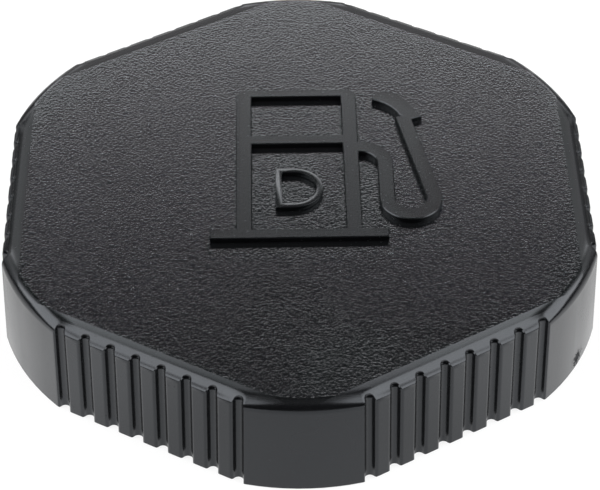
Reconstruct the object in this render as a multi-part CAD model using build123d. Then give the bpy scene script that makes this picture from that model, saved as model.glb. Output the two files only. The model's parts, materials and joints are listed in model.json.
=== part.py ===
from build123d import *
import math
import os

# Fuel filler cap with a vented bayonet closure. Millimetres, +Z up, origin at the centre of the rim.

# Hood, outside
across_flats = 100.4
corner_rise = 3.3
corner_radius = 39.6
corner_blend_radius = 4.0
hood_height = 18.6
wall_draft = 1.8
top_edge_radius = 2.0
rim_edge = 0.12

# Flutes in the six flats
flutes_per_flat = 8
flute_pitch = 4.73
flute_depth = 1.2
flute_radius = 0.9
flute_lip_radius = 0.65

# Hood, inside
skirt_wall = 2.4
top_wall = 2.6
cavity_blend_radius = 6.0
corner_rib_thickness = 1.2
corner_rib_spread = 16.0
corner_rib_foot = 2.0
corner_rib_clearance = 1.2

# Raised sign on the top. Places are from the middle of the top, the nozzle's from the end of its body.
sign_height = 1.0
sign_edge = 0.15
pump_width = 21.2
pump_top = 23.8
pump_foot = -12.9
pump_bar = 2.7
pump_top_bar = 1.9
pump_corner_radius = 1.8
shelf_top = 11.3
shelf_bar = 2.25
plinth_width = 29.9
plinth_bar = 2.2
hose_width = 2.7
hose_bend_radius = 4.15
hose_bend_height = 3.9
hose_stand_off = 4.46
loop_radius = 4.0
loop_height = -5.5
nozzle_lean = 11.7
nozzle_length = 21.4
nozzle_back = [(-5.2, 5.1), (-3.7, 6.6), (-1.2, 6.2), (1.3, 3.6), (3.4, -0.1)]
nozzle_trigger = (1.2, -1.0)
nozzle_belly = [(-0.5, 0.4), (-2.3, 3.0), (-5.2, 4.6)]

# Bayonet plate
plate_bottom = 3.0
plate_sheet = 1.5
plate_margin = 3.0
plate_hole_radius = 7.2
lug_grip = 6.0
lug_width = 24.0
lug_root_radius = 3.0
stop_height = 2.6
stop_length = 3.2
bead_width = 5.0
bead_length = 9.0
bead_height = 0.8
bead_flank = 30.0

# Core and the screws that clamp it
spring_share = 0.343
core_wall = 2.6
core_floor = 1.8
boss_radius = 3.2
boss_clearance = 0.2
screw_count = 4
screw_radius = 1.75
screw_head_radius = 3.0
screw_head_height = 1.3
screw_head_chamfer = 0.6
screw_clearance = 0.2
screw_cover = 2.0
thread_clearance = 0.05
vent_notch_width = 6.0
vent_notch_depth = 1.8

# Pressure plate, gasket and their spring
press_sheet = 1.0
press_bend = 0.5
gasket_share = 0.237
rim_clearance = 2.7
gasket_thickness = 3.2
gasket_grip = 1.6
gasket_edge = 0.5
gasket_clearance = 0.2
guide_clearance = 0.1
seal_travel = 1.8
end_clearance = 0.3
spring_wire = 1.4
spring_turns = 2.5
slip_sheet = 0.8
slip_margin = 2.0
slip_rib_thickness = 1.0

# Square seal and retaining ring on the core
bore_seal_wire = 1.5
bore_seal_cover = 0.1
bore_seal_clearance = 0.05
collar_margin = 1.2
retainer_sheet = 0.9
retainer_reach = 1.8
retainer_depth = 0.8
retainer_gap = 7.0
retainer_lift = 0.55
retainer_drop = 0.35

# Vent chamber and its two valves
vent_share = 0.36
seat_margin = 0.4
seat_width = 0.7
seat_height = 0.7
seal_margin = 0.5
valve_seal_thickness = 0.9
valve_disc_margin = 0.4
valve_disc_thickness = 1.1
valve_hub_radius = 2.0
valve_hub_height = 0.5
valve_play = 0.8
rest_clearance = 0.05
bleed_hole_radius = 0.55
bleed_holes = 4
valve_spring_wire = 0.5
valve_spring_turns = 3
valve_lid_thickness = 1.2
valve_lid_spigot = 0.8
valve_lid_clearance = 0.4
chamber_wall = 1.6
chamber_slot_width = 3.0
chamber_slot_height = 3.0
stem_radius = 0.9
stem_clearance = 0.05
stem_tip = 0.3
vacuum_play = 0.4
vacuum_overlap = 0.8
vacuum_head_thickness = 0.9
vacuum_spring_wire = 0.3
vacuum_spring_gap = 0.4
vacuum_spring_share = 0.433
vacuum_spring_turns = 2
clip_sheet = 0.35
clip_groove = 0.2
clip_overhang = 0.2

# Foam filter and splash basket
filter_clearance = 0.1
basket_clearance = 0.3
basket_wall = 0.9
basket_flange_width = 2.5
basket_flange = 0.7
basket_bottom = 1.0
basket_floor = 0.8
basket_slots = 6
basket_slot_width = 3.0
basket_recess_clearance = 0.05

# Hood sizes that follow
half_flats = across_flats / 2
corner_reach = half_flats + corner_rise
corner_centre = corner_reach - corner_radius
wall_inset = flute_depth + skirt_wall
ceiling = hood_height - top_wall
into_top = ceiling + top_wall / 2

# Heights of the works that follow
plate_top = plate_bottom + plate_sheet
floor_top = plate_top + core_floor
retainer_bottom = plate_top + retainer_lift
retainer_top = retainer_bottom + retainer_sheet
press_floor_bottom = retainer_top + retainer_drop
press_floor_top = press_floor_bottom + press_sheet
flange_top = ceiling - end_clearance - seal_travel
gasket_top = flange_top - press_sheet
gasket_bottom = gasket_top - gasket_thickness
bore_seal_bottom = press_floor_bottom + seal_travel + bore_seal_cover
bore_seal_top = bore_seal_bottom + bore_seal_wire
slip_bottom = ceiling - slip_sheet
chamber_top = ceiling - valve_lid_clearance - valve_lid_thickness
seat_top = floor_top + seat_height
valve_seal_bottom = seat_top + rest_clearance
valve_disc_bottom = valve_seal_bottom + valve_seal_thickness
valve_disc_top = valve_disc_bottom + valve_disc_thickness
valve_hub_top = valve_disc_top + valve_hub_height
clip_bottom = valve_hub_top + vacuum_spring_share * (chamber_top - valve_hub_top)
clip_top = clip_bottom + clip_sheet
screw_top = ceiling - screw_cover

# Radii of the works that follow
press_rim_radius = half_flats - wall_inset - rim_clearance
cup_radius = press_rim_radius * (1 - gasket_share)
core_radius = cup_radius * (1 - spring_share)
core_bore = core_radius - core_wall
boss_circle_radius = core_bore - boss_clearance - boss_radius
press_bore = core_radius + guide_clearance
cup_bore = cup_radius - press_sheet
spring_radius = (press_bore + press_sheet + cup_bore) / 2
slip_rib_inner = core_radius + end_clearance
slip_inner = slip_rib_inner + slip_rib_thickness + end_clearance
slip_outer = spring_radius + spring_wire / 2 + slip_margin
vent_hole_radius = vent_share * (boss_circle_radius - boss_radius)
seat_inner = vent_hole_radius + seat_margin
seat_outer = seat_inner + seat_width
valve_seal_outer = seat_outer + seal_margin
valve_disc_radius = valve_seal_outer + valve_disc_margin
chamber_bore = valve_disc_radius + valve_play
chamber_radius = chamber_bore + chamber_wall
vacuum_head_radius = vent_hole_radius - vacuum_play
valve_seal_inner = vacuum_head_radius - vacuum_overlap
bleed_circle_radius = (valve_hub_radius + valve_seal_inner) / 2
valve_spring_radius = (valve_seal_inner + valve_disc_radius) / 2
vacuum_spring_radius = stem_radius + vacuum_spring_gap + vacuum_spring_wire / 2
stem_waist = stem_radius - clip_groove
basket_radius = plate_hole_radius - basket_clearance
basket_flange_radius = basket_radius + basket_flange_width
lug_reach = cup_radius + lug_grip

os.makedirs("parts", exist_ok=True)


def polar(radius, angle):
    """A point at a radius and an angle in degrees, on the XY plane."""
    turn = math.radians(angle)
    return Vector(radius * math.cos(turn), radius * math.sin(turn))


def around(count, first=0.0):
    """Turns about +Z that space copies evenly, the first one at a given angle."""
    return [Rot(0, 0, first + 360 * index / count) for index in range(count)]


def ring(outer, inner, bottom, top):
    """A round wall between two radii and two heights."""
    return Pos(0, 0, bottom) * extrude(Circle(outer) - Circle(inner), top - bottom)


def disc(radius, bottom, top):
    """A round plate between two heights."""
    return Pos(0, 0, bottom) * extrude(Circle(radius), top - bottom)


def block(x_low, x_high, y_low, y_high, z_low, z_high):
    """A box between its limits."""
    centre = Pos((x_low + x_high) / 2, (y_low + y_high) / 2, (z_low + z_high) / 2)
    return centre * Box(x_high - x_low, y_high - y_low, z_high - z_low)


def turned(profile):
    """Revolve a profile drawn as (radius, height) about +Z."""
    return revolve(Plane.XZ * profile, Axis.Z)


def coil(radius, bottom, top, turns, wire):
    """A coil spring of square wire with its two ends ground flat."""
    rise = top - bottom
    path = Pos(0, 0, bottom) * Helix(rise / turns, rise, radius)
    section = Plane(path @ 0, x_dir=(1, 0, 0), z_dir=path % 0) * Rectangle(wire, wire)
    wound = sweep(section, path, is_frenet=True)
    return wound & ring(radius + wire, radius - wire, bottom, top)


def hood_plan(inset, blend):
    """Plan of the hood: six flats blended into six round corners, a distance inside the rim line."""
    apothem = half_flats - inset
    radius = corner_radius - inset
    reach = (apothem - corner_centre * math.cos(math.radians(30))) / radius
    swing = 30 - math.degrees(math.acos(reach))
    edges = []
    for side in range(6):
        corner = 60 * side - 90
        centre = polar(corner_centre, corner)
        start = centre + polar(radius, corner + swing)
        middle = centre + polar(radius, corner)
        end = centre + polar(radius, corner - swing)
        next_centre = polar(corner_centre, corner + 60)
        next_end = next_centre + polar(radius, corner + 60 - swing)
        edges.append(ThreePointArc(end, middle, start))
        edges.append(Line(start, next_end))
    plan = Sketch() + make_face(edges)
    return fillet(plan.vertices(), blend)


def flute_tool():
    """One flute across its length: a round channel below the wall line, with rounded lips."""
    middle = Vector(0, flute_radius - flute_depth)
    apart = flute_radius + flute_lip_radius
    drop = flute_lip_radius + middle.Y
    lip_middle = Vector(math.sqrt(apart ** 2 - drop ** 2), -flute_lip_radius)
    touch = middle + (lip_middle - middle) * (flute_radius / apart)
    half_dip = math.degrees(math.asin(drop / apart)) / 2
    lip = Vector(lip_middle.X, 0)
    outside = Vector(lip_middle.X, flute_radius)
    half = make_face([
        ThreePointArc((0, -flute_depth), middle + polar(flute_radius, -45 - half_dip), touch),
        ThreePointArc(touch, lip_middle + polar(flute_lip_radius, 135 - half_dip), lip),
        Line(lip, outside), Line(outside, (0, outside.Y)), Line((0, outside.Y), (0, -flute_depth))])
    return half + mirror(half, Plane.YZ)


def flutes():
    """All flutes: upright channels that follow the wall's draft and run out on the top edge."""
    lean = math.radians(wall_draft)
    along_wall = Vector(-math.sin(lean), 0, math.cos(lean))
    plane = Plane(origin=(half_flats, 0, 0), x_dir=(0, -1, 0), z_dir=along_wall)
    tool = extrude(plane * flute_tool(), hood_height * 1.2, both=True)
    first = -(flutes_per_flat - 1) / 2 * flute_pitch
    one_flat = [Pos(0, first + index * flute_pitch, 0) * tool for index in range(flutes_per_flat)]
    return [turn * copy for turn in around(6) for copy in one_flat]


def raised_sign():
    """The fuel pump on the top: frame, shelf, plinth, hose and nozzle, as one raised outline."""
    half = pump_width / 2
    body = Pos(0, (pump_top + pump_foot) / 2) * Rectangle(pump_width, pump_top - pump_foot)
    body = fillet(body.vertices().group_by(Axis.Y)[-1], pump_corner_radius)
    shelf_bottom = shelf_top - shelf_bar
    window_width = pump_width - 2 * pump_bar
    window_top = pump_top - pump_top_bar
    window = Pos(0, (window_top + shelf_top) / 2) * Rectangle(window_width, window_top - shelf_top)
    lower = Pos(0, (shelf_bottom + pump_foot) / 2) * Rectangle(window_width, shelf_bottom - pump_foot)
    plinth = Pos(0, pump_foot - plinth_bar / 2) * Rectangle(plinth_width, plinth_bar)

    hose_drop_x = half + hose_stand_off
    bend_x = hose_drop_x - hose_bend_radius
    loop_x = hose_drop_x + loop_radius
    hose_start = Vector(half - pump_bar / 2, hose_bend_height + hose_bend_radius)
    bend_start = Vector(bend_x, hose_start.Y)
    bend_centre = Vector(bend_x, hose_bend_height)
    loop_centre = Vector(loop_x, loop_height)
    loop_end = loop_centre + polar(loop_radius, nozzle_lean)
    nozzle_top = loop_end + polar(nozzle_length, 90 + nozzle_lean)
    route = [
        Line(hose_start, bend_start),
        ThreePointArc(bend_start, bend_centre + polar(hose_bend_radius, 45), (hose_drop_x, hose_bend_height)),
        Line((hose_drop_x, hose_bend_height), (hose_drop_x, loop_height)),
        ThreePointArc((hose_drop_x, loop_height), loop_centre + polar(loop_radius, -90), loop_end),
        Line(loop_end, nozzle_top),
    ]
    hose = trace(Wire(route), line_width=hose_width)

    back = [nozzle_top + Vector(*point) for point in nozzle_back]
    belly = [nozzle_top + Vector(*point) for point in nozzle_belly]
    trigger = nozzle_top + Vector(*nozzle_trigger)
    head = make_face([Spline(*back), Line(back[-1], trigger), Line(trigger, belly[0]),
                      ThreePointArc(*belly), Line(belly[-1], back[0])])

    plan = (body - window - lower) + plinth + hose + head
    relief = Pos(0, 0, hood_height) * extrude(plan, sign_height)
    return chamfer(relief.edges().group_by(Axis.Z)[-1], sign_edge)


def grip_cover():
    """The moulded hood, with everything that is moulded with it."""
    blank = extrude(hood_plan(0, corner_blend_radius), hood_height, taper=wall_draft)
    blank = fillet(blank.edges().group_by(Axis.Z)[-1], top_edge_radius)
    blank = chamfer(blank.edges().group_by(Axis.Z)[0], rim_edge)
    cavity = extrude(hood_plan(wall_inset, cavity_blend_radius), ceiling, taper=wall_draft)
    hood = blank - cavity - flutes()

    rib_inner = press_rim_radius + corner_rib_clearance
    rib_outer = corner_reach - wall_inset + skirt_wall / 2
    rib_half = corner_rib_thickness / 2
    rib = block(rib_inner, rib_outer, -rib_half, rib_half, corner_rib_foot, into_top)
    for turn in around(6, 30):
        for side in (-0.5, 0.5):
            hood += turn * Pos(0, side * corner_rib_spread, 0) * rib

    boss = disc(boss_radius, floor_top, into_top)
    pilot = disc(screw_radius + thread_clearance, floor_top, screw_top + thread_clearance)
    for turn in around(screw_count, 45):
        hood += turn * Pos(boss_circle_radius, 0, 0) * (boss - pilot)

    hood += ring(slip_rib_inner + slip_rib_thickness, slip_rib_inner, slip_bottom, into_top)
    return hood + raised_sign()


def carrier_body():
    """The core under the hood: a cup whose floor carries the vent chamber."""
    core = disc(core_radius, plate_top, floor_top)
    core += ring(core_radius, core_bore, plate_top, ceiling)
    core += ring(chamber_radius, chamber_bore, floor_top, chamber_top)
    core += ring(seat_outer, seat_inner, floor_top, seat_top)
    core -= disc(vent_hole_radius, plate_top, floor_top)
    recess = disc(basket_flange_radius + basket_recess_clearance, plate_top, plate_top + basket_flange)
    core -= recess

    screw_hole = disc(screw_radius + screw_clearance, plate_top, floor_top)
    for turn in around(screw_count, 45):
        core -= turn * Pos(boss_circle_radius, 0, 0) * screw_hole

    notch_half = vent_notch_width / 2
    notch = block(core_bore - core_wall, core_radius + core_wall, -notch_half, notch_half,
                  ceiling - vent_notch_depth, ceiling)
    slot_half = chamber_slot_width / 2
    slot_top = chamber_top - valve_lid_spigot
    slot = block(chamber_bore - chamber_wall, chamber_radius + chamber_wall, -slot_half, slot_half,
                 slot_top - chamber_slot_height, slot_top)
    for turn in around(4):
        core -= turn * notch
        core -= turn * slot

    outside = core_radius + core_wall
    seal_bed = press_bore - 2 * bore_seal_clearance - bore_seal_wire
    core -= ring(outside, seal_bed, bore_seal_bottom - bore_seal_clearance,
                 bore_seal_top + bore_seal_clearance)
    core -= ring(outside, core_radius - retainer_depth, retainer_bottom - rest_clearance,
                 retainer_top + rest_clearance)
    return core


def cover_screws():
    """Pan-head screws up through plate and core into the hood's bosses."""
    head = disc(screw_head_radius, plate_bottom - screw_head_height, plate_bottom)
    head = chamfer(head.edges().group_by(Axis.Z)[0], screw_head_chamfer)
    screw = head + disc(screw_radius, plate_bottom, screw_top)
    screw = Pos(boss_circle_radius, 0, 0) * screw
    return Compound(children=[turn * screw for turn in around(screw_count, 45)])


def bayonet_plate():
    """Stamped plate: a disc with two lugs, each with a pressed bead and a bent-up stop."""
    plate_radius = core_radius + plate_margin
    lugs = Rectangle(2 * lug_reach, lug_width) & Circle(lug_reach)
    plan = Circle(plate_radius) + lugs
    root_line = (plate_radius + cup_radius) / 2
    lug_roots = [spot for spot in plan.vertices() if math.hypot(spot.X, spot.Y) < root_line]
    plan = fillet(lug_roots, lug_root_radius)
    plan -= Circle(plate_hole_radius)
    for turn in around(screw_count, 45):
        plan -= turn * Pos(boss_circle_radius, 0) * Circle(screw_radius + screw_clearance)
    plate = Pos(0, 0, plate_bottom) * extrude(plan, plate_sheet)

    bead_middle = core_radius + retainer_reach + end_clearance + bead_length / 2
    press = extrude(SlotOverall(bead_length, bead_width), bead_height, taper=bead_flank)
    edge = lug_width / 2
    stop_top = plate_top + stop_height
    stop = block(lug_reach - stop_length, lug_reach, -edge, plate_sheet - edge, plate_bottom, stop_top)
    stop &= disc(lug_reach, plate_bottom, stop_top)
    for turn in around(2):
        plate += turn * Pos(bead_middle, 0, plate_top) * press
        plate -= turn * Pos(bead_middle, 0, plate_bottom) * press
        plate += turn * stop
    return plate


def pressure_plate():
    """Pressed steel cup: inner collar, floor, wall, flange and the lip that holds the gasket."""
    lip_inner = press_rim_radius - press_sheet
    lip_bottom = gasket_top - gasket_grip
    collar_top = bore_seal_top + collar_margin
    section = Polyline(
        (press_bore, press_floor_bottom + press_bend), (press_bore + press_bend, press_floor_bottom),
        (cup_radius - press_bend, press_floor_bottom), (cup_radius, press_floor_bottom + press_bend),
        (cup_radius, gasket_top), (lip_inner, gasket_top), (lip_inner, lip_bottom),
        (press_rim_radius, lip_bottom), (press_rim_radius, flange_top - press_bend),
        (press_rim_radius - press_bend, flange_top), (cup_bore, flange_top), (cup_bore, press_floor_top),
        (press_bore + press_sheet, press_floor_top), (press_bore + press_sheet, collar_top),
        (press_bore, collar_top), close=True)
    return turned(make_face(section))


def seal_ring():
    """Flat rubber gasket in the pressure plate's rim."""
    inner = cup_radius + gasket_clearance
    outer = press_rim_radius - press_sheet - gasket_clearance
    gasket = ring(outer, inner, gasket_bottom, gasket_top)
    return chamfer(gasket.edges().group_by(Axis.Z)[0].filter_by(GeomType.CIRCLE), gasket_edge)


def bore_seal():
    """Square seal between the pressure plate's collar and the core."""
    outer = press_bore - bore_seal_clearance
    return ring(outer, outer - bore_seal_wire, bore_seal_bottom, bore_seal_top)


def retaining_ring():
    """Split ring in the core's groove, under the pressure plate."""
    outer = core_radius + retainer_reach
    hoop = ring(outer, core_radius - retainer_depth + rest_clearance, retainer_bottom, retainer_top)
    half_gap = retainer_gap / 2
    return hoop - block(0, outer, -half_gap, half_gap, retainer_bottom, retainer_top)


def pressure_spring():
    """Coil between pressure plate and slip washer."""
    return coil(spring_radius, press_floor_top, slip_bottom, spring_turns, spring_wire)


def slip_washer():
    """Plastic ring that lets the spring slide as the hood turns."""
    return ring(slip_outer, slip_inner, slip_bottom, ceiling)


def valve_disc():
    """Disc of the pressure valve, with bleed holes for the vacuum valve."""
    plate = disc(valve_disc_radius, valve_disc_bottom, valve_disc_top)
    plate += disc(valve_hub_radius, valve_disc_top, valve_hub_top)
    plate -= disc(stem_radius + stem_clearance, valve_disc_bottom, valve_hub_top)
    bleed = disc(bleed_hole_radius, valve_disc_bottom, valve_hub_top)
    for turn in around(bleed_holes):
        plate -= turn * Pos(bleed_circle_radius, 0, 0) * bleed
    return plate


def valve_seal():
    """Rubber washer that closes on the core's seat and on the vacuum valve's head."""
    return ring(valve_seal_outer, valve_seal_inner, valve_seal_bottom, valve_disc_bottom)


def valve_spring():
    """Spring of the pressure valve, up to the chamber's lid."""
    return coil(valve_spring_radius, valve_disc_top, chamber_top, valve_spring_turns, valve_spring_wire)


def vacuum_valve():
    """Mushroom valve: head under the rubber washer, stem up through the disc."""
    head_top = valve_seal_bottom - rest_clearance
    head = disc(vacuum_head_radius, head_top - vacuum_head_thickness, head_top)
    head = chamfer(head.edges().group_by(Axis.Z)[0], vacuum_head_thickness / 2)
    stem = disc(stem_radius, head_top, clip_top + stem_tip)
    return head + stem - ring(stem_radius + clip_groove, stem_waist, clip_bottom, clip_top)


def vacuum_spring():
    """Spring that holds the vacuum valve up."""
    return coil(vacuum_spring_radius, valve_hub_top, clip_bottom, vacuum_spring_turns, vacuum_spring_wire)


def vacuum_clip():
    """Clip in the stem's groove, above the spring."""
    return ring(valve_hub_radius + clip_overhang, stem_waist, clip_bottom, clip_top)


def valve_cover():
    """Lid of the vent chamber, with a spigot inside the chamber's wall."""
    lid = disc(chamber_radius, chamber_top, chamber_top + valve_lid_thickness)
    spigot_outer = chamber_bore - stem_clearance
    spigot_inner = spigot_outer - chamber_wall / 2
    return lid + ring(spigot_outer, spigot_inner, chamber_top - valve_lid_spigot, chamber_top)


def filter_ring():
    """Foam ring around the vent chamber."""
    outer = boss_circle_radius - boss_radius - filter_clearance
    return ring(outer, chamber_radius + filter_clearance, floor_top, ceiling)


def splash_basket():
    """Slotted basket under the vent: its flange is held between plate and core."""
    basket = disc(basket_radius, basket_bottom, plate_top)
    basket += disc(basket_flange_radius, plate_top, plate_top + basket_flange)
    basket -= disc(basket_radius - basket_wall, basket_bottom + basket_floor, plate_top + basket_flange)
    slot_half = basket_slot_width / 2
    slot_bottom = basket_bottom + basket_floor
    outside = basket_radius + basket_wall
    slot = block(basket_radius / 2, outside, -slot_half, slot_half, slot_bottom, plate_bottom)
    for turn in around(basket_slots):
        basket -= turn * slot
    return basket


pieces = [
    grip_cover, carrier_body, cover_screws, bayonet_plate, pressure_plate, seal_ring, bore_seal,
    retaining_ring, pressure_spring, slip_washer, valve_disc, valve_seal, valve_spring, vacuum_valve,
    vacuum_spring, vacuum_clip, valve_cover, filter_ring, splash_basket,
]

for piece in pieces:
    export_step(piece(), f"parts/{piece.__name__}.step")
    print(piece.__name__)
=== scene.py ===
# %% [markdown]
# # A diesel filler cap in black moulded plastic
# The solids of the cap come ready made from a CAD model, in metres, with Z up and the rim on the floor.
# This lesson dresses them: it smooths the hood, adds what only shows as surface detail, gives each part
# its own procedural finish, and lights it like a catalogue picture.

# %% Load the cap's solids
import json
import math

import bpy
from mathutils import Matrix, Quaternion, Vector

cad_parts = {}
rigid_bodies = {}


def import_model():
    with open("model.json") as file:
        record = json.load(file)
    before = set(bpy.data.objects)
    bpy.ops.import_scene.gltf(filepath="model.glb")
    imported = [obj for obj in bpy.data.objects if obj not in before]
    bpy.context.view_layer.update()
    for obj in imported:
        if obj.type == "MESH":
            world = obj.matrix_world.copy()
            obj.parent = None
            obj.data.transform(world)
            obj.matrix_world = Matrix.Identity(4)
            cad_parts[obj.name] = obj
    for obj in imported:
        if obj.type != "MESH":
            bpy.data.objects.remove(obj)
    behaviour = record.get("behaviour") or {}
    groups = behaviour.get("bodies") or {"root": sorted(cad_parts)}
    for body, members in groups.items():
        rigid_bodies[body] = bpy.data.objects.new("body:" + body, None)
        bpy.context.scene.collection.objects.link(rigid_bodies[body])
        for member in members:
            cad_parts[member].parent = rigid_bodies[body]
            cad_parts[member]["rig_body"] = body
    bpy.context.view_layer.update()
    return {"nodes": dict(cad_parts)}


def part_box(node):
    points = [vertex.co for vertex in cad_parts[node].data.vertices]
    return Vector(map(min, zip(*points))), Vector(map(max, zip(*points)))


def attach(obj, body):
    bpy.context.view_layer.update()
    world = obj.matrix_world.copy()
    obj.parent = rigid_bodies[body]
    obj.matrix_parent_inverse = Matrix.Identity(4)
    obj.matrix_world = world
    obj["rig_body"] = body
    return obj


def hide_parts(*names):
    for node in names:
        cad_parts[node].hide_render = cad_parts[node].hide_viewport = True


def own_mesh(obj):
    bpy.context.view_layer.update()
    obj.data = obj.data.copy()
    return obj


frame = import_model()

print("solids:", len(frame["nodes"]))

# %% [markdown]
# ## Working in millimetres
# Blender counts in metres, and this cap is only ten centimetres wide. One small constant lets every size
# be written in millimetres. Operators act on whatever is selected, so a helper that selects exactly
# one object is the second thing that every later cell needs. Freezing an object moves its place, turn and
# scale into its mesh, so that the object itself stays at the origin like the CAD parts.

# %% Helpers that every step needs
MM = 0.001


def select_only(piece):
    """Make one object the only selected one, and the active one."""
    bpy.ops.object.select_all(action="DESELECT")
    piece.select_set(True)
    bpy.context.view_layer.objects.active = piece


def freeze(piece):
    """Work an object's place, turn and scale into its mesh."""
    select_only(piece)
    bpy.ops.object.transform_apply(location=True, rotation=True, scale=True)


def apply_modifier(piece, modifier):
    """Work a modifier into the mesh."""
    select_only(piece)
    bpy.ops.object.modifier_apply(modifier=modifier.name)


def join_all(pieces):
    """Make several objects into one."""
    select_only(pieces[0])
    for piece in pieces[1:]:
        piece.select_set(True)
    bpy.ops.object.join()
    return bpy.context.object


def facets(piece):
    """How many triangles a piece has."""
    piece.data.calc_loop_triangles()
    return len(piece.data.loop_triangles)


print("one millimetre is", MM, "of Blender's units")

# %% [markdown]
# ## The camera
# The picture looks down at about 43 degrees with a long lens, so the far edge is hardly smaller than the
# near one. A camera could be placed by eye, but here its place follows from a few numbers: the angle that
# it looks from, how far it stands away, and its focal length in pixels of a 600 pixel wide picture.

# %% Camera
PICTURE_WIDTH, PICTURE_HEIGHT = 600, 490
FOCAL_PIXELS = 2445.3
CENTRE_PIXEL = (298.39, 261.43)
CAMERA_DISTANCE = 431.25 * MM
CAMERA_AZIMUTH, CAMERA_ELEVATION = -0.878, 43.075
CAMERA_ROLL = -0.239
FILM_WIDTH = 36


def direction_to(azimuth, elevation):
    """The way from the cap to a viewer or lamp. Both angles are in degrees, and the front is at 0."""
    turn, rise = math.radians(azimuth), math.radians(elevation)
    return Vector((math.sin(turn) * math.cos(rise), -math.cos(turn) * math.cos(rise), math.sin(rise)))


def aim_at_cap(thing, back, roll=0.0):
    """Turn a camera or a lamp, which look along their own -Z, so that they look back at the cap."""
    own_roll = Quaternion((0, 0, 1), math.radians(roll))
    thing.rotation_mode = "QUATERNION"
    thing.rotation_quaternion = (-back).to_track_quat("-Z", "Y") @ own_roll


towards_camera = direction_to(CAMERA_AZIMUTH, CAMERA_ELEVATION)
bpy.ops.object.camera_add(location=towards_camera * CAMERA_DISTANCE)
camera = bpy.context.object
camera.name = "camera"
aim_at_cap(camera, towards_camera, CAMERA_ROLL)
camera.data.sensor_width = FILM_WIDTH
camera.data.lens = FOCAL_PIXELS * FILM_WIDTH / PICTURE_WIDTH
camera.data.shift_x = (PICTURE_WIDTH / 2 - CENTRE_PIXEL[0]) / PICTURE_WIDTH
camera.data.shift_y = (CENTRE_PIXEL[1] - PICTURE_HEIGHT / 2) / PICTURE_WIDTH
camera.data.clip_start = 10 * MM
camera.data.clip_end = 20
bpy.context.scene.camera = camera
print("lens in mm:", round(camera.data.lens, 1))

# %% [markdown]
# ## Smooth shading for moulded and turned parts
# The CAD parts arrive as loose triangles with flat shading. They could get more triangles, but a better
# answer is to join the triangles, let Blender shade across every gentle bend, and keep the true edges
# sharp. The weighted normals modifier makes large flat faces stay flat right up to their rounded edges.
# Where a part has a small cut that the CAD model leaves out, it is cut before the shading is worked out.

# %% Smooth copies of CAD parts
WELD_DISTANCE = 0.002 * MM
FLAT_ANGLE = 0.2


def smooth_copy(node, name, sharp_angle=35, cutter=None):
    """A joined and smooth-shaded copy of a CAD part, which then stands for it."""
    piece = bpy.data.objects.new(name, frame["nodes"][node].data.copy())
    bpy.context.scene.collection.objects.link(piece)
    select_only(piece)
    bpy.ops.object.mode_set(mode="EDIT")
    bpy.ops.mesh.select_all(action="SELECT")
    bpy.ops.mesh.customdata_custom_splitnormals_clear()
    bpy.ops.mesh.remove_doubles(threshold=WELD_DISTANCE)
    bpy.ops.mesh.dissolve_limited(angle_limit=math.radians(FLAT_ANGLE))
    bpy.ops.object.mode_set(mode="OBJECT")
    if cutter:
        cut = piece.modifiers.new("small cuts", "BOOLEAN")
        cut.object = cutter
        cut.operation = "DIFFERENCE"
        cut.use_self = True
        apply_modifier(piece, cut)
        bpy.data.objects.remove(cutter)
    select_only(piece)
    bpy.ops.object.shade_smooth_by_angle(angle=math.radians(sharp_angle))
    weighting = piece.modifiers.new("weighted normals", "WEIGHTED_NORMAL")
    weighting.keep_sharp = True
    apply_modifier(piece, weighting)
    piece.data.materials.clear()
    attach(piece, frame["nodes"][node]["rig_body"])
    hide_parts(node)
    return piece


print("parts that can be copied:", len(frame["nodes"]))

# %% [markdown]
# ## The torn place at the rim
# The cap has met a kerb: low on its right corner the plastic is torn, with a few short gouges and a small
# bite out of the rim. They could be painted with a bump map, but real cuts also show in the outline. Each
# gouge is a small rough stone shape, stretched along the tear and sunk into the wall, and all of them are
# cut out of the hood at once.

# %% Gouges at the right corner
CORNER_ANGLE = math.radians(-30)
CORNER_ARC_OFFSET = 13.9 * MM
CORNER_ARC_RADIUS = 39.6 * MM
WALL_DRAFT = math.tan(math.radians(1.8))
STONE_THICKNESS = 0.42
# Each gouge in mm: place along the wall from the corner's middle, height, length, width. Then its lean
# in degrees.
GOUGES = (
    (2.25, 2.0, 0.6, 0.34, 80), (0.12, 2.7, 0.95, 0.3, 86),
    (0.45, 1.45, 1.9, 0.2, -67), (-0.75, 2.5, 0.9, 0.18, 12),
    (0.1, 0.5, 0.55, 0.3, 75), (1.2, 0.15, 1.3, 0.5, 4),
    (-0.9, 1.4, 0.8, 0.14, 60), (1.3, 1.2, 0.8, 0.16, -40),
)

corner_arc_centre = Vector((
    CORNER_ARC_OFFSET * math.cos(CORNER_ANGLE), CORNER_ARC_OFFSET * math.sin(CORNER_ANGLE), 0))


def gouge(along, height, length, width, lean):
    """One small stretched stone, half sunk into the wall."""
    angle = CORNER_ANGLE + along * MM / CORNER_ARC_RADIUS
    out = Vector((math.cos(angle), math.sin(angle), 0))
    level = height * MM
    bpy.ops.mesh.primitive_ico_sphere_add(subdivisions=1, radius=0.5 * MM)
    stone = bpy.context.object
    stone.scale = (length, width, STONE_THICKNESS)
    freeze(stone)
    own_turn = Quaternion((0, 0, 1), math.radians(90 + lean))
    wall_radius = CORNER_ARC_RADIUS - level * WALL_DRAFT
    stone.rotation_mode = "QUATERNION"
    stone.rotation_quaternion = out.to_track_quat("Z", "Y") @ own_turn
    stone.location = corner_arc_centre + out * wall_radius + Vector((0, 0, level))
    freeze(stone)
    return stone


tear_cutter = join_all([gouge(*values) for values in GOUGES])
print("gouges:", len(GOUGES), "triangles in the cutter:", facets(tear_cutter))

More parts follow.
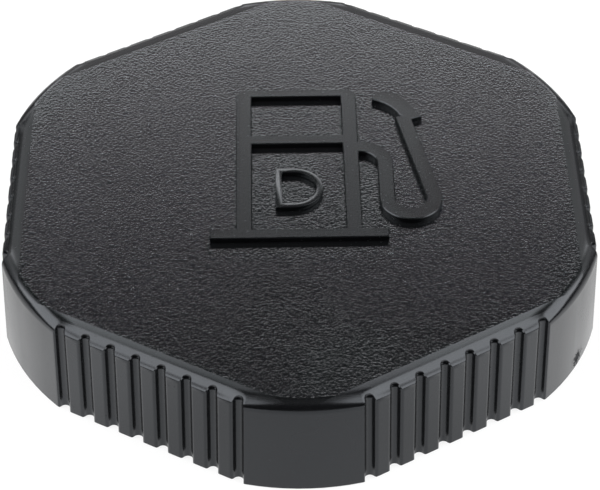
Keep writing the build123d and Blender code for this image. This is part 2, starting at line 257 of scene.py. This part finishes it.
# %% [markdown]
# ## The hood
# The hood is one moulding: a six-sided skirt with grooves for the fingers, a rounded edge and a flat top
# that carries the fuel pump sign. Its form is all in the CAD part, so a smooth copy is enough. Edges that
# bend by more than 28 degrees stay sharp, which keeps the grooves crisp, and the rest is shaded round.

# %% The hood
HOOD_SHARP_ANGLE = 28
hood = smooth_copy("grip_cover", "moulded_hood", HOOD_SHARP_ANGLE, tear_cutter)
print("hood faces:", len(hood.data.polygons), "triangles:", facets(hood))

# %% [markdown]
# ## The letter D
# Diesel caps carry a plain D in the window under the pump's shelf. It could be a text object, but the
# moulded letter is cut from straight strokes and one half circle, so it is quicker to model: a disc, its
# left half sliced off, the cut pulled out to the left, and the middle removed by an inset.

# %% Raised letter
HOOD_TOP = 18.6 * MM
LETTER_TOP = 19.5 * MM
LETTER_LEFT = -3.9 * MM
LETTER_STRAIGHT = -0.8 * MM
LETTER_MIDDLE = -2.35 * MM
LETTER_RADIUS = 5.05 * MM
LETTER_STROKE = 1.12 * MM
LETTER_EDGE = 0.14 * MM

bpy.ops.mesh.primitive_circle_add(
    vertices=96, radius=LETTER_RADIUS, fill_type="NGON",
    location=(LETTER_STRAIGHT, LETTER_MIDDLE, HOOD_TOP))
letter = bpy.context.object
letter.name = "letter_d"
freeze(letter)
bpy.ops.object.mode_set(mode="EDIT")
bpy.ops.mesh.select_mode(type="FACE")
bpy.ops.mesh.select_all(action="SELECT")
bpy.ops.mesh.bisect(
    plane_co=(LETTER_STRAIGHT, 0, 0), plane_no=(1, 0, 0), use_fill=False, clear_inner=True)
bpy.ops.object.mode_set(mode="OBJECT")
for edge in letter.data.edges:
    ends = [letter.data.vertices[index].co.x for index in edge.vertices]
    edge.select = all(abs(x - LETTER_STRAIGHT) < 0.01 * MM for x in ends)
bpy.ops.object.mode_set(mode="EDIT")
bpy.ops.mesh.select_mode(type="EDGE")
bpy.ops.mesh.extrude_region_move(TRANSFORM_OT_translate={"value": (LETTER_LEFT - LETTER_STRAIGHT, 0, 0)})
bpy.ops.mesh.select_all(action="SELECT")
bpy.ops.mesh.normals_make_consistent(inside=False)
bpy.ops.mesh.dissolve_limited(angle_limit=math.radians(0.1))
bpy.ops.mesh.select_mode(type="FACE")
bpy.ops.mesh.select_all(action="SELECT")
bpy.ops.mesh.inset(thickness=LETTER_STROKE, depth=0)
bpy.ops.mesh.delete(type="FACE")
bpy.ops.mesh.select_all(action="SELECT")
bpy.ops.mesh.extrude_region_move(TRANSFORM_OT_translate={"value": (0, 0, LETTER_TOP - HOOD_TOP)})
bpy.ops.mesh.select_all(action="SELECT")
bpy.ops.mesh.normals_make_consistent(inside=False)
bpy.ops.object.mode_set(mode="OBJECT")
edge_break = letter.modifiers.new("broken edges", "BEVEL")
edge_break.width = LETTER_EDGE
edge_break.segments = 2
edge_break.limit_method = "ANGLE"
edge_break.angle_limit = math.radians(50)
apply_modifier(letter, edge_break)
bpy.ops.object.shade_smooth_by_angle(angle=math.radians(30))
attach(letter, "cover")
print("letter box in mm:", [round(1000 * side, 2) for side in letter.dimensions])

# %% [markdown]
# ## The screws' cross recesses
# Four pan-head screws hold the works in the hood, and their heads show from below. A driver's cross is
# too small for the CAD model, so it is cut here: two crossed blades that get narrower as they go in. No
# two screws stop at the same turn, so each cross is turned a little further than the one before.

# %% Screws
SCREW_CIRCLE = 16.0 * MM
HEAD_FACE = 1.7 * MM
RECESS_LENGTH, RECESS_WIDTH, RECESS_DEPTH = 3.4 * MM, 0.75 * MM, 1.1 * MM
TIP_LENGTH_SHARE, TIP_WIDTH_SHARE = 0.45, 0.6
TURN_BETWEEN_SCREWS = 0.3


def blade(spot, turn):
    """One blade of a driver's tip: a block whose far end is smaller."""
    bpy.ops.mesh.primitive_cube_add(size=1)
    piece = bpy.context.object
    piece.scale = (RECESS_LENGTH, RECESS_WIDTH, 2 * RECESS_DEPTH)
    freeze(piece)
    for corner in piece.data.vertices:
        if corner.co.z > 0:
            corner.co.x *= TIP_LENGTH_SHARE
            corner.co.y *= TIP_WIDTH_SHARE
    piece.rotation_euler.z = turn
    piece.location = spot
    freeze(piece)
    return piece


blades = []
for quarter in range(4):
    angle = math.radians(45 + 90 * quarter)
    head = Vector((SCREW_CIRCLE * math.cos(angle), SCREW_CIRCLE * math.sin(angle), HEAD_FACE))
    turn = angle + TURN_BETWEEN_SCREWS * quarter
    blades += [blade(head, turn), blade(head, turn + math.radians(90))]
screws = smooth_copy("cover_screws", "pan_head_screws", 35, join_all(blades))
print("screws:", facets(screws), "triangles")

# %% [markdown]
# ## Round wire springs
# The CAD model keeps its springs plain, with square wire. Real ones are wound from round wire and ground
# flat at both ends. A screw modifier winds a small circle round the axis, and two flat cuts grind it.
# A spring is also the only part here that changes shape.

# %% Springs
WIRE_SIDES = 12
STEPS_PER_TURN = 48
CUT_TOLERANCE = 0.001 * MM


def round_spring(node, name, wire, turns):
    """A coil of round wire in the place of a CAD spring."""
    low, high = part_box(node)
    bottom, top = low[2], high[2]
    bpy.ops.mesh.primitive_circle_add(
        vertices=WIRE_SIDES, radius=wire / 2, location=(high[0] - wire / 2, 0, bottom),
        rotation=(math.radians(90), 0, 0))
    piece = bpy.context.object
    piece.name = name
    freeze(piece)
    winding = piece.modifiers.new("winding", "SCREW")
    winding.angle = 2 * math.pi * turns
    winding.screw_offset = top - bottom
    winding.steps = int(STEPS_PER_TURN * turns)
    winding.render_steps = winding.steps
    apply_modifier(piece, winding)
    bpy.ops.object.mode_set(mode="EDIT")
    bpy.ops.mesh.select_all(action="SELECT")
    bpy.ops.mesh.fill_holes(sides=WIRE_SIDES)
    for level in (bottom, top):
        bpy.ops.mesh.select_all(action="SELECT")
        bpy.ops.mesh.bisect(
            plane_co=(0, 0, level), plane_no=(0, 0, 1), use_fill=True, threshold=CUT_TOLERANCE,
            clear_inner=level == bottom, clear_outer=level == top)
    bpy.ops.mesh.select_all(action="SELECT")
    bpy.ops.mesh.normals_make_consistent(inside=False)
    bpy.ops.object.mode_set(mode="OBJECT")
    bpy.ops.object.shade_smooth_by_angle(angle=math.radians(40))
    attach(piece, frame["nodes"][node]["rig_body"])
    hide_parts(node)
    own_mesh(piece)
    return piece


springs = [
    round_spring("pressure_spring", "gasket_spring", 1.4 * MM, 2.5),
    round_spring("valve_spring", "vent_spring", 0.5 * MM, 3),
    round_spring("vacuum_spring", "stem_spring", 0.3 * MM, 2),
]
print("triangles of the springs:", [facets(piece) for piece in springs])

# %% [markdown]
# ## The rest of the works
# Inside the hood sit the core, the lug plate that grips the tank's neck, the gasket in its pressed cup,
# and a vent with two small valves. The CAD model gives their whole form, so each gets a smooth copy under
# a maker's name, in a loop rather than one by one.

# %% The rest of the works
works = {
    "carrier_body": "moulded_core", "bayonet_plate": "stamped_lug_plate", "pressure_plate": "pressed_cup",
    "seal_ring": "neck_gasket", "bore_seal": "collar_seal", "retaining_ring": "split_ring",
    "slip_washer": "slip_ring", "valve_disc": "vent_disc", "valve_seal": "vent_washer",
    "vacuum_valve": "mushroom_valve", "vacuum_clip": "stem_clip", "valve_cover": "vent_lid",
    "filter_ring": "foam_filter", "splash_basket": "slotted_basket",
}
parts = {node: smooth_copy(node, name) for node, name in works.items()}
print("smoothed parts:", len(parts), "triangles:", sum(facets(piece) for piece in parts.values()))

# %% [markdown]
# ## Building a finish
# Every finish here is made of shader nodes and reads Object coordinates, which are metres on the part
# itself. So the grain keeps its true size from any side. A few short helpers keep the node code readable.

# %% Helpers that build shader nodes
def new_finish(name, color, roughness, metallic=0.0, ior=1.5):
    """A material with its shader's plain values set, and its Object coordinates."""
    material = bpy.data.materials.new(name)
    material.use_nodes = True
    nodes = material.node_tree.nodes
    shader = nodes["Principled BSDF"]
    shader.inputs["Base Color"].default_value = (*color, 1)
    shader.inputs["Roughness"].default_value = roughness
    shader.inputs["Metallic"].default_value = metallic
    shader.inputs["IOR"].default_value = ior
    place = nodes.new("ShaderNodeTexCoord")
    return material, shader, place.outputs["Object"]


def connect(material, source, target):
    """Join two sockets."""
    material.node_tree.links.new(source, target)


def add_node(material, kind, values=None, **choices):
    """A new shader node. Its menus are set first, then its inputs: plain numbers or other sockets."""
    node = material.node_tree.nodes.new("ShaderNode" + kind)
    for menu, choice in choices.items():
        setattr(node, menu, choice)
    for socket, value in (values or {}).items():
        if isinstance(value, bpy.types.NodeSocket):
            connect(material, value, node.inputs[socket])
        else:
            node.inputs[socket].default_value = value
    return node


def split_axes(material, place):
    """The single coordinates X, Y and Z of a place."""
    return add_node(material, "SeparateXYZ", {"Vector": place}).outputs


def calculate(material, operation, *values):
    """One sum on up to three values."""
    return add_node(material, "Math", dict(enumerate(values)), operation=operation).outputs["Value"]


def product(material, first, *others):
    """Several values multiplied together."""
    for other in others:
        first = calculate(material, "MULTIPLY", first, other)
    return first


def vector_sum(material, operation, *vectors):
    """One sum on up to three vectors. Some sums give a vector, and the others a single value."""
    node = add_node(material, "VectorMath", dict(enumerate(vectors)), operation=operation)
    return node.outputs["Value" if operation in ("LENGTH", "DISTANCE", "DOT_PRODUCT") else "Vector"]


print("node helpers ready")

# %% [markdown]
# The next helpers make the patterns: soft noise, a value stretched from one range to another, and a mix
# of two values or colours. Two of them change the coordinates that a pattern is read at: one stretches it
# along an axis, as rolling does, and one wraps it in rings around the axis, as turning does.

# %% Helpers that make patterns
def noise(material, place, scale, detail=3, distortion=0.0, roughness=0.5):
    """Soft noise. The scale is cells per metre, so 1000 makes one-millimetre spots."""
    values = {"Vector": place, "Scale": scale, "Detail": detail}
    values.update({"Roughness": roughness, "Distortion": distortion})
    return add_node(material, "TexNoise", values).outputs["Fac"]


def spread(material, value, low, high, out_low, out_high, smooth=False):
    """Stretch a value from one range to another."""
    values = {"Value": value, "From Min": low, "From Max": high, "To Min": out_low, "To Max": out_high}
    kind = "SMOOTHSTEP" if smooth else "LINEAR"
    return add_node(material, "MapRange", values, interpolation_type=kind).outputs["Result"]


def blend_values(material, share, low, high):
    """A value between two others."""
    return add_node(material, "Mix", {"Factor": share, "A": low, "B": high}).outputs["Result"]


def mix_colors(material, factor, first, second):
    """A colour between two plain ones."""
    values = {"Factor": factor, "A": (*first, 1), "B": (*second, 1)}
    return add_node(material, "Mix", values, data_type="RGBA").outputs["Result"]


def stretch_place(material, place, scale):
    """The coordinates, stretched along the axes."""
    return vector_sum(material, "MULTIPLY", place, scale)


def lathe_place(material, place):
    """Coordinates of distance from the axis and height only, so that a pattern runs in rings."""
    from_axis = vector_sum(material, "LENGTH", stretch_place(material, place, (1, 1, 0)))
    height = split_axes(material, place)["Z"]
    return add_node(material, "CombineXYZ", {"X": from_axis, "Z": height}).outputs["Vector"]


def bump(material, shader, height, distance):
    """Lean the surface by a height, as a share of a distance in metres."""
    node = add_node(material, "Bump", {"Height": height, "Distance": distance, "Strength": 1.0})
    connect(material, node.outputs["Normal"], shader.inputs["Normal"])


def dress(pieces, material):
    """Give pieces their finish."""
    for piece in pieces:
        piece.data.materials.clear()
        piece.data.materials.append(material)


print("pattern helpers ready")

# %% [markdown]
# ## Black moulding
# The mould for the hood is polished to a satin on the walls and the sign, and etched with a fine leather
# grain on the flat top. Two materials and a face selection could do it, but the grain also stops a little
# before the edge along each flat. One material with a mask can follow that line: the mask asks how high
# a point is, and how far it is from the axis across the three pairs of flats.

# %% Where the grain is
GRAIN_REACH = 46.4 * MM
GRAIN_FADE = 0.1 * MM
TOP_STARTS = (18.53 * MM, 18.57 * MM)
TOP_ENDS = (18.62 * MM, 18.66 * MM)

moulding, moulding_shader, moulding_place = new_finish(
    "black_moulding", (0.0035, 0.0035, 0.004), 0.25, ior=1.52)
level = split_axes(moulding, moulding_place)["Z"]


def hexagon_reach(first):
    """How far a point is from the axis, measured square to the sides of a hexagon."""
    reach = 0.0
    for side in range(3):
        angle = math.radians(first + 60 * side)
        facing = (math.cos(angle), math.sin(angle), 0)
        distance = vector_sum(moulding, "DOT_PRODUCT", moulding_place, facing)
        reach = calculate(moulding, "MAXIMUM", calculate(moulding, "ABSOLUTE", distance), reach)
    return reach


across_flats, across_corners = hexagon_reach(0), hexagon_reach(30)
grain_mask = product(
    moulding,
    spread(moulding, level, *TOP_STARTS, 0, 1, smooth=True),
    spread(moulding, level, *TOP_ENDS, 1, 0, smooth=True),
    spread(moulding, across_flats, GRAIN_REACH - GRAIN_FADE, GRAIN_REACH + GRAIN_FADE, 1, 0, smooth=True))
print("the grain reaches", round(1000 * GRAIN_REACH, 1), "mm from the axis on the flats")

# %% [markdown]
# The grain itself is made of small soft cells, bent out of shape by a noise so that they look like
# leather and not like bubbles, with a finer noise on top. Its mean height is taken off before the mask,
# because otherwise the mask would raise the whole top and draw a step around it.

# %% Leather grain
LEATHER_SCALE, PORE_SCALE, BENDING_SCALE = 2500, 4200, 1300
BENDING = 0.8 * MM
GRAIN_HEIGHT = 0.038
CELL_SHARE, PORE_SHARE, MEAN_HEIGHT = 0.6, 0.55, 0.6

bent = add_node(moulding, "TexNoise", {"Vector": moulding_place, "Scale": BENDING_SCALE, "Detail": 2})
bent_place = vector_sum(
    moulding, "MULTIPLY_ADD", bent.outputs["Color"], (BENDING, BENDING, BENDING), moulding_place)
leather = add_node(
    moulding, "TexVoronoi", {"Vector": bent_place, "Scale": LEATHER_SCALE, "Smoothness": 0.5},
    feature="SMOOTH_F1")
cells = spread(moulding, leather.outputs["Distance"], 0.1, 0.75, 0, 1)
pores = noise(moulding, moulding_place, PORE_SCALE, detail=3, roughness=0.55)
grain = calculate(moulding, "MULTIPLY_ADD", cells, CELL_SHARE, -MEAN_HEIGHT)
grain = calculate(moulding, "MULTIPLY_ADD", pores, PORE_SHARE, grain)
grain = product(moulding, grain, grain_mask, GRAIN_HEIGHT)
print("leather cells per millimetre:", LEATHER_SCALE * MM)

# %% [markdown]
# Outside the grain the top rolls over softly before its rounded edge begins, which gives each flat a
# wide bright band. The roll is slow, so a smooth step in the bump can stand for it: seven tenths of a
# millimetre over three, fading out towards the corners. Around the gouges the plastic is torn all over,
# so a ragged mask makes a shallow hollow there, and the next cell makes it rough as well.

# %% Rolled edge and torn place
# Fall, height and depth are plain numbers of mm, like the grain's height, because the bump counts in mm
ROLL_END = 49.6 * MM
ROLL_FALL = 0.7
RIPPLE_HEIGHT = 0.002
TEAR_PLACE = (46.3 * MM, -26.6 * MM, 1.75 * MM)
TEAR_CORE, TEAR_EDGE = 0.3 * MM, 2.5 * MM
TEAR_RAGGEDNESS = 3.0
TEAR_DEPTH = 0.12

past_grain = calculate(moulding, "MAXIMUM", across_flats, GRAIN_REACH)
roll_start = 2 * GRAIN_REACH - ROLL_END
rolled = product(
    moulding,
    spread(moulding, past_grain, roll_start, ROLL_END, ROLL_FALL, -ROLL_FALL, smooth=True),
    spread(moulding, level, 17.2 * MM, 18.3 * MM, 0, 1, smooth=True),
    spread(moulding, across_corners, 48.6 * MM, 53.2 * MM, 1, 0, smooth=True))
ripple = noise(moulding, moulding_place, 320, detail=2)
relief = calculate(
    moulding, "MULTIPLY_ADD", ripple, RIPPLE_HEIGHT, calculate(moulding, "ADD", grain, rolled))

from_tear = vector_sum(moulding, "DISTANCE", moulding_place, TEAR_PLACE)
ragged = noise(moulding, moulding_place, 1900, detail=4, roughness=0.75)
ragged = calculate(moulding, "SUBTRACT", ragged, 0.5)
torn = spread(moulding, from_tear, TEAR_CORE, TEAR_EDGE, 1.0, -0.1)
torn = calculate(moulding, "MULTIPLY_ADD", ragged, TEAR_RAGGEDNESS, torn)
torn = spread(moulding, torn, 0.42, 0.62, 0, 1, smooth=True)
relief = calculate(moulding, "MULTIPLY_ADD", torn, -TEAR_DEPTH, relief)
bump(moulding, moulding_shader, relief, 1 * MM)
print("the torn place is", round(1000 * math.hypot(*TEAR_PLACE[:2]), 1), "mm from the axis")

# %% [markdown]
# The polish differs from place to place: satin on the walls, a little brighter on the rounded edge, and
# glossier flecks in the grain. Each could be a material of its own, but a chain of blends keeps the
# borders soft. The colour is almost black everywhere, because this plastic shows mostly what it mirrors.

# %% Polish and colour
SIGN_ROUGHNESS, TORN_ROUGHNESS = 0.265, 0.85

patches = noise(moulding, moulding_place, 45, detail=3)
polish = blend_values(
    moulding, spread(moulding, level, 15.5 * MM, 17.5 * MM, 0, 1, smooth=True),
    spread(moulding, patches, 0.3, 0.7, 0.23, 0.29), spread(moulding, patches, 0.3, 0.7, 0.21, 0.25))
on_sign = spread(moulding, level, 18.7 * MM, 18.9 * MM, 0, 1)
polish = blend_values(moulding, on_sign, polish, SIGN_ROUGHNESS)
polish = blend_values(moulding, grain_mask, polish, spread(moulding, pores, 0.3, 0.7, 0.15, 0.21))
polish = blend_values(moulding, torn, polish, TORN_ROUGHNESS)
connect(moulding, polish, moulding_shader.inputs["Roughness"])
tint = mix_colors(moulding, patches, (0.0028, 0.0029, 0.0033), (0.004, 0.0041, 0.0047))
connect(moulding, tint, moulding_shader.inputs["Base Color"])
moulding_shader.inputs["Specular Tint"].default_value = (0.88, 0.93, 1.0, 1)
dress((hood, letter), moulding)
print("black moulding has", len(moulding.node_tree.nodes), "nodes")

# %% [markdown]
# ## Black plastic of the works
# The core and the vent's lid are moulded from the same kind of black plastic, but filled with short glass
# fibres. The fibres leave cloudy flow marks and a duller surface, so a stretched noise drives both.

# %% Glass-filled plastic
filled, filled_shader, filled_place = new_finish("glass_filled_plastic", (0.02, 0.02, 0.022), 0.5)
flow = noise(filled, stretch_place(filled, filled_place, (1, 1, 0.35)), 260, detail=4, distortion=1.5)
fibres = noise(filled, stretch_place(filled, filled_place, (1, 1, 0.25)), 5200, detail=2)
connect(filled, spread(filled, flow, 0.3, 0.7, 0.42, 0.58), filled_shader.inputs["Roughness"])
filled_tint = mix_colors(filled, flow, (0.014, 0.014, 0.015), (0.03, 0.03, 0.032))
connect(filled, filled_tint, filled_shader.inputs["Base Color"])
bump(filled, filled_shader, calculate(filled, "MULTIPLY_ADD", fibres, 0.5, flow), 0.02 * MM)
dress((parts["carrier_body"], parts["valve_cover"]), filled)
print("glass-filled plastic ready")

# %% [markdown]
# ## Natural acetal
# The slip ring, the basket and the vent's small valves are off-white acetal, a little waxy. Light goes a
# short way in, so some subsurface scatter softens them, and a faint cloudiness breaks up the flat white.

# %% Natural acetal
acetal, acetal_shader, acetal_place = new_finish("natural_acetal", (0.76, 0.74, 0.68), 0.38)
clouds = noise(acetal, acetal_place, 180, detail=4)
acetal_tint = mix_colors(acetal, clouds, (0.70, 0.68, 0.62), (0.80, 0.79, 0.74))
connect(acetal, acetal_tint, acetal_shader.inputs["Base Color"])
connect(acetal, spread(acetal, clouds, 0.3, 0.7, 0.32, 0.46), acetal_shader.inputs["Roughness"])
acetal_shader.inputs["Subsurface Weight"].default_value = 0.15
acetal_shader.inputs["Subsurface Scale"].default_value = 0.6 * MM
bump(acetal, acetal_shader, noise(acetal, acetal_place, 1500, detail=3), 0.015 * MM)
dress([parts["valve_disc"], parts["vacuum_valve"], parts["splash_basket"]], acetal)
dress([parts["slip_washer"]], acetal)
print("natural acetal ready")

# %% [markdown]
# ## Nitrile rubber
# The gasket and the small seals are black rubber: almost no gloss, a fine moulded tooth, and a pale bloom
# that comes out of the rubber in patches. One noise places the bloom, and another one makes the tooth.

# %% Nitrile rubber
rubber, rubber_shader, rubber_place = new_finish("nitrile_rubber", (0.02, 0.02, 0.021), 0.7)
bloom = noise(rubber, rubber_place, 220, detail=5, distortion=0.6)
tooth = noise(rubber, rubber_place, 4200, detail=2)
bloom_spots = spread(rubber, bloom, 0.45, 0.75, 0, 1)
rubber_tint = mix_colors(rubber, bloom_spots, (0.014, 0.014, 0.015), (0.04, 0.04, 0.041))
connect(rubber, rubber_tint, rubber_shader.inputs["Base Color"])
connect(rubber, spread(rubber, bloom, 0.3, 0.7, 0.58, 0.78), rubber_shader.inputs["Roughness"])
bump(rubber, rubber_shader, calculate(rubber, "MULTIPLY_ADD", tooth, 0.6, bloom), 0.03 * MM)
dress([parts["seal_ring"], parts["bore_seal"], parts["valve_seal"]], rubber)
print("nitrile rubber ready")

# %% [markdown]
# ## Plated steel
# The lug plate is zinc plated and passivated, which leaves a yellow tone with a hint of green. The
# pressed cup and the screws are bright zinc. Both share one recipe: a metal whose roughness follows fine
# marks, in rings where the part was spun or pressed round, and straight where the sheet was rolled.

# %% Zinc plating
MARKS_SCALE = 2600


def zinc_finish(name, tones, marks_place):
    """Plated steel: patchy tone, fine marks in the roughness and the bump."""
    material, shader, place = new_finish(name, tones[0], 0.35, metallic=1.0)
    tone = noise(material, place, 90, detail=5, distortion=0.8)
    marks = noise(material, marks_place(material, place), MARKS_SCALE, detail=4, roughness=0.65)
    spangle = noise(material, place, 900, detail=2)
    tone = mix_colors(material, spread(material, tone, 0.3, 0.7, 0, 1), *tones)
    connect(material, tone, shader.inputs["Base Color"])
    wear = calculate(material, "MULTIPLY_ADD", spangle, 0.4, marks)
    connect(material, spread(material, wear, 0.45, 0.95, 0.24, 0.46), shader.inputs["Roughness"])
    bump(material, shader, wear, 0.008 * MM)
    return material


def rolled_place(material, place):
    """Coordinates that draw a pattern out along the lug plate."""
    return stretch_place(material, place, (0.06, 1, 1))


yellow_zinc = zinc_finish("yellow_passivated_zinc", ((0.64, 0.5, 0.24), (0.56, 0.52, 0.34)), rolled_place)
bright_zinc = zinc_finish("bright_zinc", ((0.62, 0.63, 0.65), (0.52, 0.54, 0.56)), lathe_place)
dress([parts["bayonet_plate"]], yellow_zinc)
dress([parts["pressure_plate"]], bright_zinc)
dress([screws], bright_zinc)
print("plating ready")

# %% [markdown]
# ## Spring steel
# Springs, the split ring and the stem's clip are drawn or stamped spring steel with a thin dark oil film.
# The film is a soft noise in tone and roughness, and the drawing marks are a fine one in the bump.

# %% Spring steel
steel, steel_shader, steel_place = new_finish("drawn_spring_steel", (0.3, 0.3, 0.31), 0.34, metallic=1.0)
oil = noise(steel, steel_place, 350, detail=4, distortion=0.5)
drawn = noise(steel, stretch_place(steel, steel_place, (0.3, 0.3, 1)), 5200, detail=2)
steel_tint = mix_colors(steel, oil, (0.22, 0.22, 0.23), (0.4, 0.39, 0.38))
connect(steel, steel_tint, steel_shader.inputs["Base Color"])
connect(steel, spread(steel, oil, 0.3, 0.7, 0.24, 0.42), steel_shader.inputs["Roughness"])
bump(steel, steel_shader, calculate(steel, "MULTIPLY_ADD", oil, 0.5, drawn), 0.006 * MM)
dress([*springs, parts["retaining_ring"], parts["vacuum_clip"]], steel)
print("spring steel ready")

# %% [markdown]
# ## Filter foam
# The ring around the vent is open-cell foam. Real pores would take far too many faces, so they are
# Voronoi cells: grey on the struts between them, with painted shade that makes a cell dark where it is
# deep.

# %% Filter foam
foam, foam_shader, foam_place = new_finish("open_cell_foam", (0.1, 0.1, 0.11), 0.9)
pore = add_node(foam, "TexVoronoi", {"Vector": foam_place, "Scale": 2200})
strut = spread(foam, pore.outputs["Distance"], 0.15, 0.6, 0, 1, smooth=True)
# Painted shade: the colour goes dark inside each pore, where shade would fall, and stays grey on the
# struts.
foam_tint_and_pore_shade = mix_colors(foam, strut, (0.02, 0.02, 0.022), (0.16, 0.16, 0.17))
connect(foam, foam_tint_and_pore_shade, foam_shader.inputs["Base Color"])
bump(foam, foam_shader, strut, 0.25 * MM)
dress([parts["filter_ring"]], foam)
print("foam ready")

# %% [markdown]
# ## Floor
# A catalogue picture has a white floor that simply goes on, so this one is a disc six metres wide. Below
# the cap it has a round opening, so that the works can be looked at from below. A plane with a hole cut
# out would do, but a ring is simpler: a circle, its edge extruded in place and scaled out.

# %% Floor
OPENING_RADIUS = 45 * MM
FLOOR_RADIUS = 3.0
FLOOR_LEVEL = -0.02 * MM

bpy.ops.mesh.primitive_circle_add(vertices=128, radius=OPENING_RADIUS, location=(0, 0, FLOOR_LEVEL))
floor = bpy.context.object
floor.name = "studio_floor"
freeze(floor)
bpy.ops.object.mode_set(mode="EDIT")
bpy.ops.mesh.select_mode(type="EDGE")
bpy.ops.mesh.select_all(action="SELECT")
bpy.ops.mesh.extrude_edges_move()
bpy.ops.transform.resize(value=(FLOOR_RADIUS / OPENING_RADIUS, FLOOR_RADIUS / OPENING_RADIUS, 1))
bpy.ops.object.mode_set(mode="OBJECT")
if floor.data.polygons[0].normal.z < 0:
    floor.data.flip_normals()
print("floor is", round(floor.dimensions.x, 1), "m wide, faces up:", floor.data.polygons[0].normal.z > 0)

# %% [markdown]
# ## Paper for the floor
# A strong lamp could burn the floor out to white, but that would flood the object too. So the paper shows
# nearly plain white to the camera and adds a little of the light that falls on it, which leaves the cap's
# own soft shadow. The cap's glossy walls mirror it as plain white, a bit brighter to the left and right
# and fading to the back, as if it were lit from beside the camera. From underneath it is clear.

# %% Paper for the floor
SEEN_GLOW, SEEN_PAPER, PAPER_WHITE = 0.84, 0.2, 0.86
GLOW_IN_FRONT, GLOW_BESIDE, FADED_SHARE = 1.02, 1.5, 0.62

paper, paper_shader, paper_place = new_finish("white_paper", (PAPER_WHITE, PAPER_WHITE, PAPER_WHITE), 0.9)
path = add_node(paper, "LightPath").outputs
seen = path["Is Camera Ray"]
mirrored = calculate(paper, "MAXIMUM", path["Is Glossy Ray"], path["Is Transmission Ray"])
paper_axes = split_axes(paper, paper_place)
beside = spread(
    paper, calculate(paper, "ABSOLUTE", paper_axes["X"]), 20 * MM, 55 * MM, GLOW_IN_FRONT, GLOW_BESIDE,
    smooth=True)
fading = spread(paper, paper_axes["Y"], -36 * MM, 4 * MM, 1.0, FADED_SHARE, smooth=True)
glow = calculate(
    paper, "MULTIPLY_ADD", seen, SEEN_GLOW, product(paper, mirrored, product(paper, beside, fading)))
white = calculate(paper, "MULTIPLY_ADD", seen, SEEN_PAPER - PAPER_WHITE, PAPER_WHITE)
white = product(paper, white, calculate(paper, "SUBTRACT", 1.0, mirrored))
connect(paper, glow, paper_shader.inputs["Emission Strength"])
connect(paper, white, paper_shader.inputs["Base Color"])
paper_shader.inputs["Emission Color"].default_value = (1, 1, 1, 1)
paper_shader.inputs["Specular IOR Level"].default_value = 0.0
underside = add_node(paper, "NewGeometry").outputs["Backfacing"]
clear = add_node(paper, "BsdfTransparent").outputs["BSDF"]
one_way = add_node(paper, "MixShader", {0: underside, 1: paper_shader.outputs["BSDF"], 2: clear})
connect(paper, one_way.outputs["Shader"], paper.node_tree.nodes["Material Output"].inputs["Surface"])
floor.data.materials.append(paper)
print("paper ready")

# %% [markdown]
# ## The room
# The world is the room. The cap's top mirrors the room's back wall to the camera, so that wall decides
# how bright the top is. A plain bright wall would grey the whole top, so this one gets brighter with
# height, ends in a soft edge and dims to the left and right. That makes the top fade from light at the
# back to dark at the front. The room above is dark, and a soft light comes up from below the table.

# %% World
WALL_GLOW, ROOM_GLOW, UNDER_GLOW = 8.1, 0.02, 0.9
FOOT_SHARE, SIDE_SHARE = 0.05, 0.2

world = bpy.data.worlds.new("studio")
bpy.context.scene.world = world
world.use_nodes = True
background = world.node_tree.nodes["Background"]
background.inputs["Color"].default_value = (1, 1, 1, 1)
direction = split_axes(world, add_node(world, "TexCoord").outputs["Generated"])
up, back, side = direction["Z"], direction["Y"], calculate(world, "ABSOLUTE", direction["X"])
wall_light = product(
    world,
    spread(world, up, 0.53, 0.59, 1, 0, smooth=True),
    spread(world, up, 0.3, 0.585, FOOT_SHARE, 1, smooth=True),
    spread(world, up, -0.05, 0.0, 0, 1))
wall_width = product(
    world,
    spread(world, back, -0.1, 0.45, 0, 1, smooth=True),
    spread(world, side, 0.18, 0.42, 1, SIDE_SHARE, smooth=True))
back_wall = product(world, wall_light, wall_width)
from_under = spread(world, up, -0.3, -0.1, UNDER_GLOW, 0, smooth=True)
room = calculate(world, "MULTIPLY_ADD", back_wall, WALL_GLOW, ROOM_GLOW)
room = calculate(world, "ADD", room, from_under)
room = blend_values(world, add_node(world, "LightPath").outputs["Is Camera Ray"], room, 1.0)
connect(world, room, background.inputs["Strength"])
print("room ready")

# %% [markdown]
# ## Lamps
# Two large softboxes stand left and right, high enough to draw the bright band along the rounded edges of
# the front flats. One lamp in front would light the walls too, but it would leave no edge to see. The
# right one is a touch stronger, as in the picture.

# %% Lamps
LAMP_DISTANCE = 1.0
LAMP_AZIMUTH, LAMP_ELEVATION = 86, 48
LAMP_WIDTH, LAMP_HEIGHT = 0.95, 0.9


def softbox(name, azimuth, power):
    """A rectangular lamp that looks at the cap."""
    back = direction_to(azimuth, LAMP_ELEVATION)
    bpy.ops.object.light_add(type="AREA", location=back * LAMP_DISTANCE)
    lamp = bpy.context.object
    lamp.name = name
    lamp.data.shape = "RECTANGLE"
    lamp.data.size = LAMP_WIDTH
    lamp.data.size_y = LAMP_HEIGHT
    lamp.data.energy = power
    aim_at_cap(lamp, back)


softbox("softbox_left", -LAMP_AZIMUTH, 10.5)
softbox("softbox_right", LAMP_AZIMUTH, 11.0)

# %% [markdown]
# ## Display
# The Standard view shows each colour as it is written.

# %% Display settings
bpy.context.scene.view_settings.view_transform = "Standard"
print("view transform:", bpy.context.scene.view_settings.view_transform)
